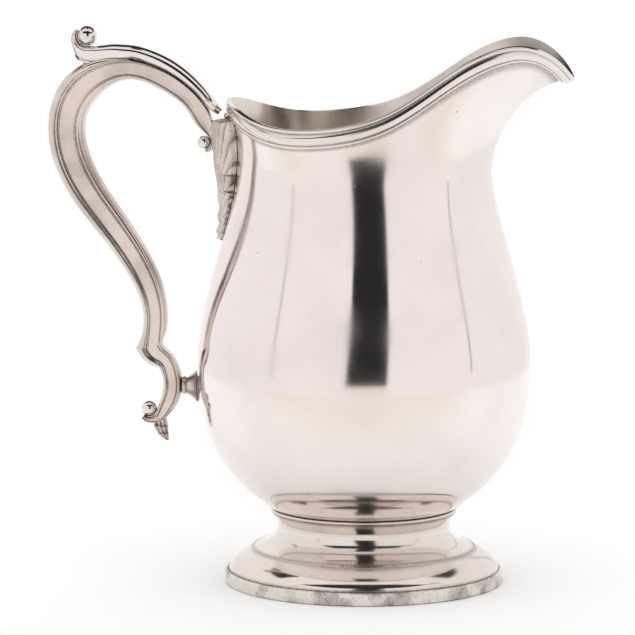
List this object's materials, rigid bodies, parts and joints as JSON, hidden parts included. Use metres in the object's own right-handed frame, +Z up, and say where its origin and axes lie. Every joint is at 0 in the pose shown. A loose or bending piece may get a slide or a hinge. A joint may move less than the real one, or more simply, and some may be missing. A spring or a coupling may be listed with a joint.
{
  "type": "water pitcher",
  "caption": "Footed silver water pitcher with a pear-shaped body, a wide raised spout, an applied rim moulding and a scroll handle.",
  "frame": {"origin": "centre of the circle that the foot rests on", "axes": "+X to the spout, the handle on the -X side, +Z up out of the mouth, +Y across"},
  "size_m": [0.2275, 0.1434, 0.2405],
  "materials": {
    "body_silver": "hand-polished sterling silver, soft reflections, fine scratches and a few pits",
    "rim_silver": "polished silver moulding with dark tarnish in its grooves",
    "foot_silver": "spun silver, polished, speckled with tarnish near the table",
    "cast_silver": "cast silver, polished by hand, slightly softer, brown tarnish beside its ridges",
    "bead_silver": "bright polished silver balls",
    "leaf_silver": "chased silver leaf, brown tarnish in its recesses"
  },
  "bodies": {
    "root": {"body_shell": "body_silver", "rim_moulding_left": "rim_silver", "rim_moulding_right": "rim_silver", "foot_pedestal": "foot_silver", "foot_wire": "foot_silver", "handle_shell_left": "cast_silver", "handle_shell_right": "cast_silver", "thumb_scroll": "cast_silver", "thumb_ball": "bead_silver", "upper_scroll_ball": "bead_silver", "acanthus_drop": "leaf_silver", "rim_bead": "bead_silver", "lower_scroll_left": "cast_silver", "lower_scroll_right": "cast_silver", "lower_scroll_ball": "bead_silver", "tail_leaf": "leaf_silver", "lower_strut": "cast_silver"}
  },
  "joints": []
}
